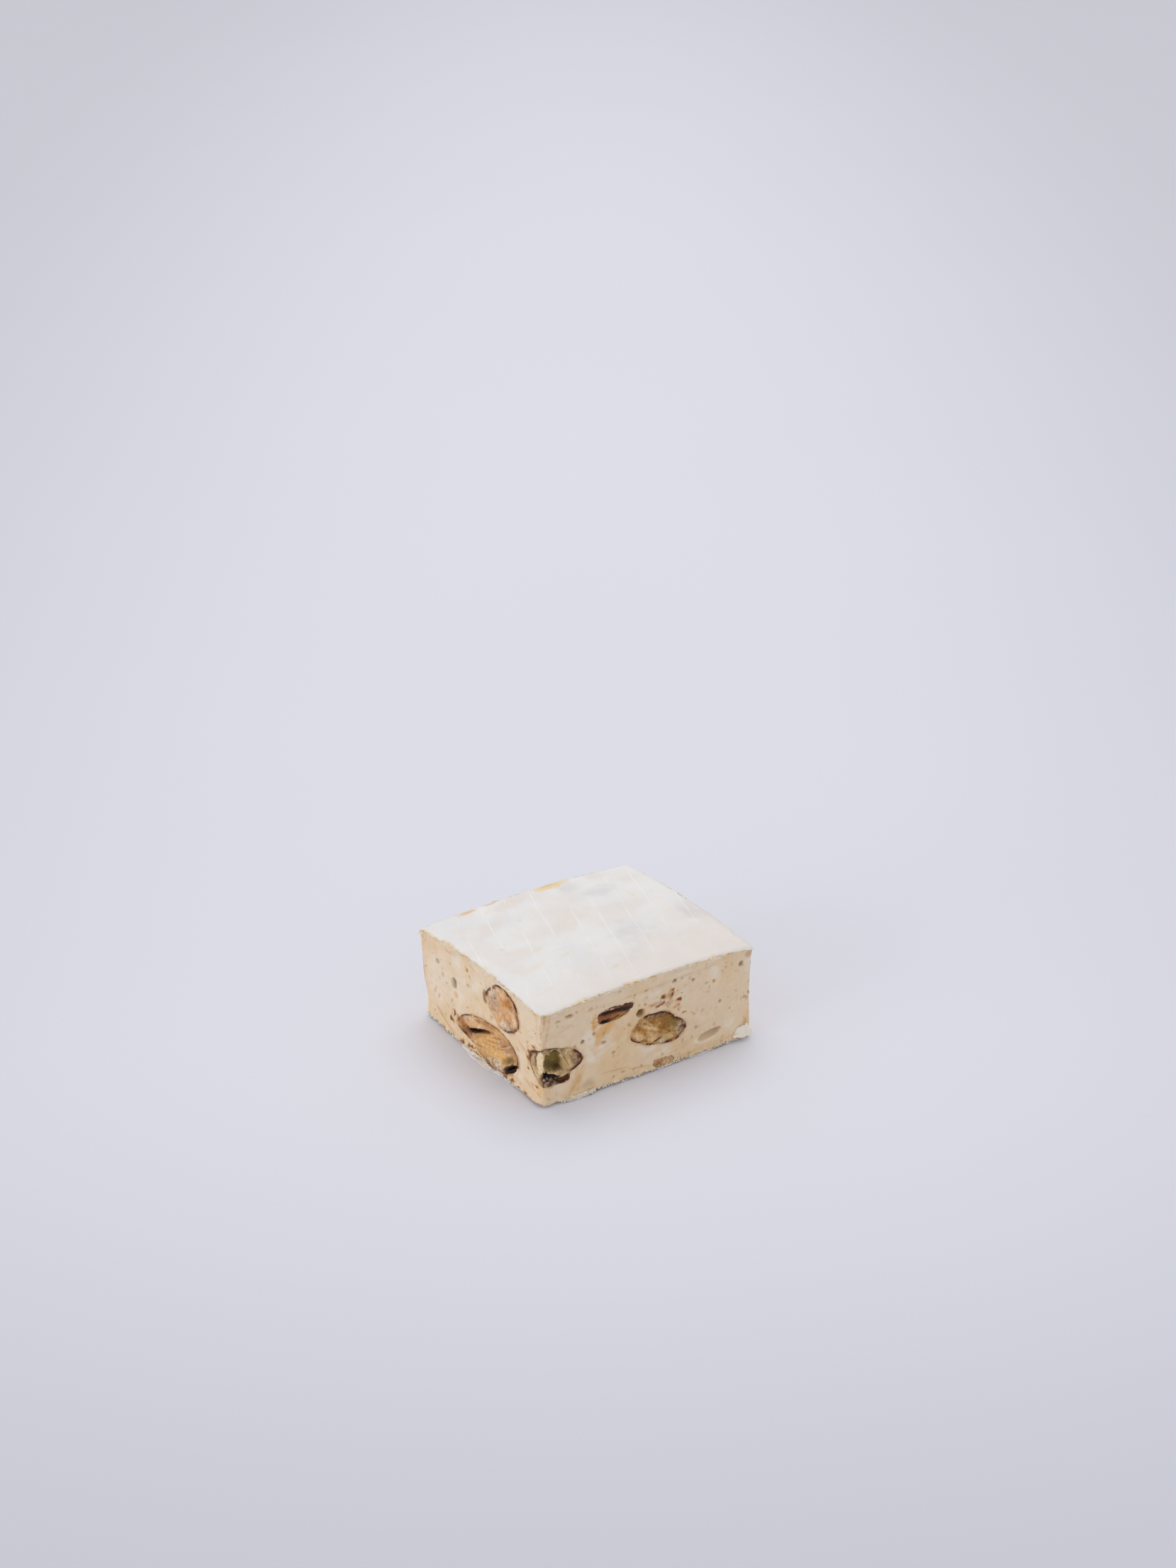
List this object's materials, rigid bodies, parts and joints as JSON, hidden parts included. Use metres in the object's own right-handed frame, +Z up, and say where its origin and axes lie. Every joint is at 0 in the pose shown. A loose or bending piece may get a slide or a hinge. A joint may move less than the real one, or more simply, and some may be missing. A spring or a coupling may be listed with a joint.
{
  "type": "nougat bar",
  "caption": "Cut block of soft white nougat between two sheets of wafer paper, with sliced almonds, bubbles and crumbs showing in its four cut sides.",
  "frame": {"origin": "middle of the underside, on the surface that the bar rests on", "axes": "+X along the longer side, +Y away from the front cut side, +Z up through both sheets of wafer paper"},
  "size_m": [0.0542, 0.0468, 0.0214],
  "materials": {
    "nougat": "satin",
    "wafer": "matte",
    "almond": "matte",
    "almond_skin": "matte"
  },
  "bodies": {
    "root": {"nougat": "nougat", "wafer_top": "wafer", "wafer_bottom": "wafer", "almond_upper_left": "almond", "almond_lower_left": "almond", "almond_corner": "almond", "almond_sliver": "almond_skin", "almond_front": "almond", "almond_chip": "almond", "almond_right_rear": "almond", "almond_right_front": "almond", "almond_right_sliver": "almond_skin", "almond_back_left": "almond", "almond_back_middle": "almond", "almond_back_right": "almond"}
  },
  "joints": []
}
